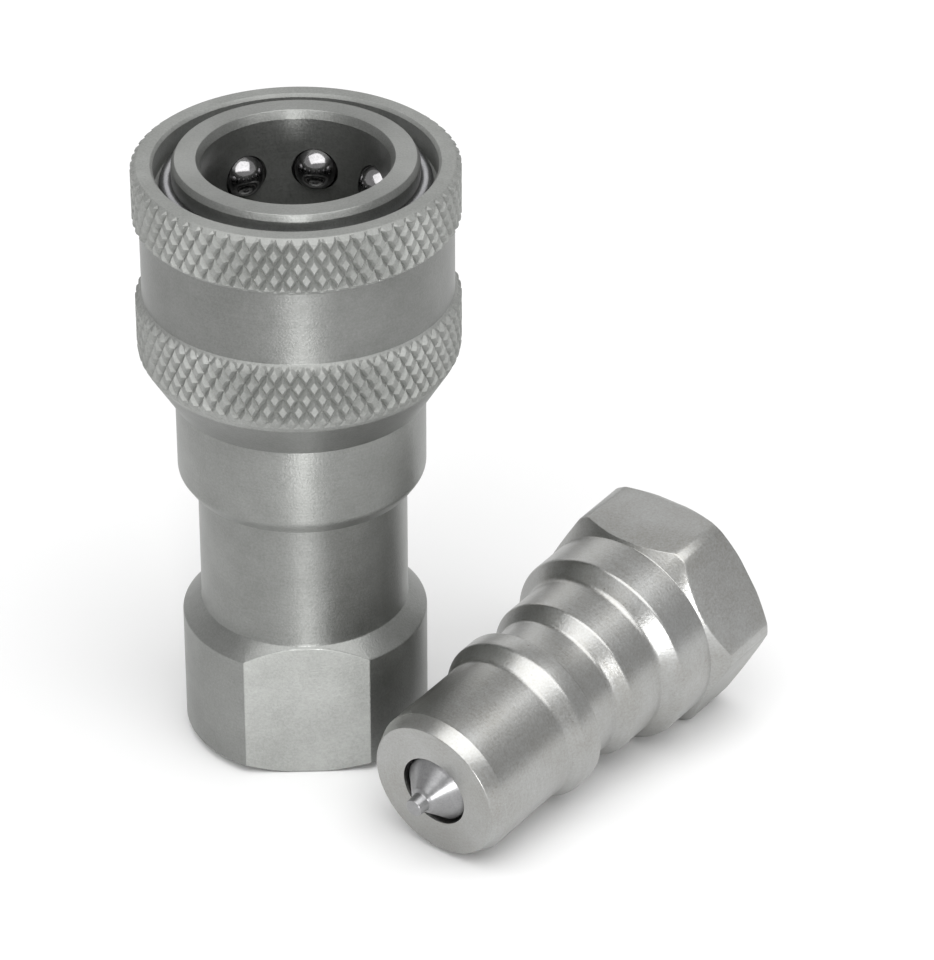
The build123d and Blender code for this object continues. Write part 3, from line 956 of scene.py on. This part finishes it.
def makeNippleBody():
    spec = nippleBody
    firstFlat = math.radians(-90)
    end = -spec["length"]
    edge = 0.1

    def wall(angle):
        return hexRadius(angle, spec["hexWidth"], spec["cornerRadius"], firstFlat)

    def frontHeight(radius):
        return -spec["hexStart"] - (radius - spec["shoulderRadius"]) * spec["frontSlope"]

    def rearHeight(radius):
        return end + max(0, radius - spec["rearRadius"]) * spec["rearSlope"]

    def coneEnd(angle):
        radius = wall(angle) - edge
        return radius, frontHeight(radius) - 0.01

    def wallEdge(angle):
        radius = wall(angle)
        return radius - 0.03, frontHeight(radius) - 0.02

    def wallFront(angle):
        radius = wall(angle)
        return radius, frontHeight(radius) - edge

    def wallRear(angle):
        radius = wall(angle)
        return radius, rearHeight(radius) + edge

    def rearEdge(angle):
        radius = wall(angle)
        return radius - 0.03, rearHeight(radius) + 0.02

    def rearCone(angle):
        radius = wall(angle) - edge
        return radius, rearHeight(radius)

    probe, ridge, shoulder = spec["probeRadius"], spec["ridgeRadius"], spec["shoulderRadius"]
    hole, chamber, guide = spec["valveHoleRadius"], spec["chamberRadius"], spec["guideRadius"]
    grooveFront, grooveRear = spec["ballGroove"]
    outside = roundedProfile([
        (hole, 0.0, 0.1), (spec["faceRadius"], 0.0, 0.12), (probe, -spec["probeStart"], 0.25),
        (probe, -spec["probeEnd"], 1.2), (ridge, -spec["ridgeFront"], 0.9),
        (ridge, -spec["ridgeRear"], 0.2), (spec["ballGrooveRadius"], -grooveFront, 0.35),
        (spec["ballGrooveRadius"] - 0.05, -grooveRear, 0.7), (ridge, -spec["bodyFront"], 0.5),
        (ridge, -spec["bodyRear"], 0.9), (shoulder, -spec["shoulderFront"], 0.5),
        (shoulder, -spec["hexStart"] + 0.02, 0.1), (10.95, frontHeight(10.95)),
    ], closed=False)
    inside = roundedProfile([
        (7.42, end + 12.0), (7.4, end + 13.7), (guide, end + 13.9), (guide, -spec["guideSeat"]),
        (chamber, -spec["guideSeat"]), (chamber, -spec["seatEnd"]),
        (spec["seatRadius"], -spec["seatEnd"]), (hole, -spec["valveHoleEnd"]), (hole, -0.3),
    ], closed=False)
    rings = outside + [coneEnd, wallEdge, wallFront, wallRear, rearEdge, rearCone]
    mouth, chamfer = spec["mouthChamfer"]
    rings += [(11.05, end), (mouth, end), (mouth - chamfer, end + chamfer)]
    rings += threadRings(end, 1)
    rings += inside
    work = bmesh.new()
    spinInto(work, rings, hexAngles(firstFlat))
    return finishMesh(work, "nipple_body_turned")


socketPoppet = makePoppet("socket_poppet_turned")
socketPoppet.location = (0, 0, valveFace * mm)
fit(socketPoppet, "socket_valve", "turned_steel", "socket_poppet")

nippleTurned = makeNippleBody()
nippleTurned.data.transform(nipplePlace)
fit(nippleTurned, "nipple", "nipple_zinc", "nipple_body")

nipplePoppet = makePoppet("nipple_poppet_turned")
nipplePoppet.data.transform(nipplePlace)
fit(nipplePoppet, "nipple_valve", "turned_steel", "nipple_poppet", finish=nipplePoppetFinish)
print("nipple made")


# springs, coiled from round wire

springWireSteps = 48  # along each turn
springWireSides = 14
sleeveSpring = {
    "radius": 12.12, "wire": 1.2, "turns": 3.5, "bottom": 44.45, "top": 55.15,
    "fixedEnd": 44.4, "keep": 0.46,
}
valveSpring = {
    "radius": 4.3, "wire": 1.0, "turns": 8.0, "bottom": -21.95, "top": -5.65,
    "fixedEnd": -22.0, "keep": 0.797,
}


def makeSpring(name, spec, place):
    steps = int(spec["turns"] * springWireSteps)
    length = spec["top"] - spec["bottom"] - spec["wire"]
    places = []
    for step in range(steps + 1):
        angle = fullTurn * spec["turns"] * step / steps
        middle = spec["bottom"] + spec["wire"] / 2 + length * step / steps
        places.append((spec["radius"], angle, middle))
    work = bmesh.new()
    roundWire(work, places, spec["wire"], springWireSides)
    piece = finishMesh(work, name)
    piece.data.transform(place)
    return piece


valvePlace = Matrix.Translation((0, 0, valveFace * mm))
for springNode, spec, place, body, joint in (
        ("sleeve_spring", sleeveSpring, upright, "socket", "sleeve_pull"),
        ("socket_valve_spring", valveSpring, valvePlace, "socket", "socket_valve_press"),
        ("nipple_valve_spring", valveSpring, nipplePlace, "nipple", "nipple_valve_press")):
    spring = makeSpring(springNode + "_coiled", spec, place)
    fit(spring, body, "spring_steel", springNode)
    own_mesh(spring)
print("springs made")


# hidden pieces keep their CAD shape

keptNodes = {
    "adapter_seal": "seal_rubber", "bore_o_ring": "seal_rubber",
    "socket_poppet_seal": "seal_rubber", "nipple_poppet_seal": "seal_rubber",
    "bore_backup_ring": "backup_plastic",
    "nipple_guide_clip": "spring_steel",
    "socket_valve_guide": "guide_brass", "nipple_valve_guide": "guide_brass",
}
for nodeName, slotName in keptNodes.items():
    node = nodes[nodeName]
    node.data.materials.clear()
    node.data.materials.append(finishes[slotName])


# floor, light and camera

floorSpec = {"size": 6.0, "colour": (0.86, 0.86, 0.86), "drop": 0.00002}


def makeFloor():
    work = bmesh.new()
    bmesh.ops.create_grid(work, x_segments=1, y_segments=1, size=floorSpec["size"] / 2)
    mesh = bpy.data.meshes.new("table")
    work.to_mesh(mesh)
    work.free()
    floor = bpy.data.objects.new("table", mesh)
    scene.collection.objects.link(floor)
    floor.location = (0, 0, -floorSpec["drop"])
    material = newMaterial("white table")
    output = addNode(material, "ShaderNodeOutputMaterial")
    shader = addNode(material, "ShaderNodeBsdfPrincipled")
    shader.inputs["Base Color"].default_value = (*floorSpec["colour"], 1)
    shader.inputs["Roughness"].default_value = 0.9
    shader.inputs["Specular IOR Level"].default_value = 0.0
    link(material, shader.outputs[0], output.inputs[0])
    mesh.materials.append(material)


makeFloor()


def addSoftbox(name, place, aim, width, height, power):
    data = bpy.data.lights.new(name, "AREA")
    data.shape = "RECTANGLE"
    data.size = width
    data.size_y = height
    data.energy = power
    lamp = bpy.data.objects.new(name, data)
    scene.collection.objects.link(lamp)
    lamp.location = place
    direction = Vector(aim) - Vector(place)
    lamp.rotation_euler = direction.to_track_quat("-Z", "Y").to_euler()


# name, place, aim, width, height, watts
softboxes = [
    ("top_softbox", (0.05, -0.33, 0.9), (0, 0, 0.02), 1.35, 0.9, 9.6),
    ("back_panel", (0.05, 0.95, 0.62), (0, 0, 0.03), 1.7, 0.5, 2.2),
    ("front_strip", (0.01, -0.72, 0.1), (0.0, 0, 0.03), 0.07, 0.2, 2.2),
]
for entry in softboxes:
    addSoftbox(*entry)

world = bpy.data.worlds.new("studio")
scene.world = world
world.use_nodes = True
sky = world.node_tree.nodes["Background"]
sky.inputs["Color"].default_value = (1, 1, 1, 1)
sky.inputs["Strength"].default_value = 0.54

cameraSpec = {
    "place": (0.0, -0.4166, 0.2903), "turnRight": 2.34, "pitchDown": 32.10, "lens": 178.05,
}
cameraData = bpy.data.cameras.new("camera")
cameraData.sensor_width = 36
cameraData.lens = cameraSpec["lens"]
cameraData.clip_start = 0.01
camera = bpy.data.objects.new("camera", cameraData)
scene.collection.objects.link(camera)
camera.location = cameraSpec["place"]
camera.rotation_euler = (
    math.radians(90 - cameraSpec["pitchDown"]), 0, math.radians(-cameraSpec["turnRight"]))
scene.camera = camera
scene.view_settings.view_transform = "Standard"
print("stage ready")

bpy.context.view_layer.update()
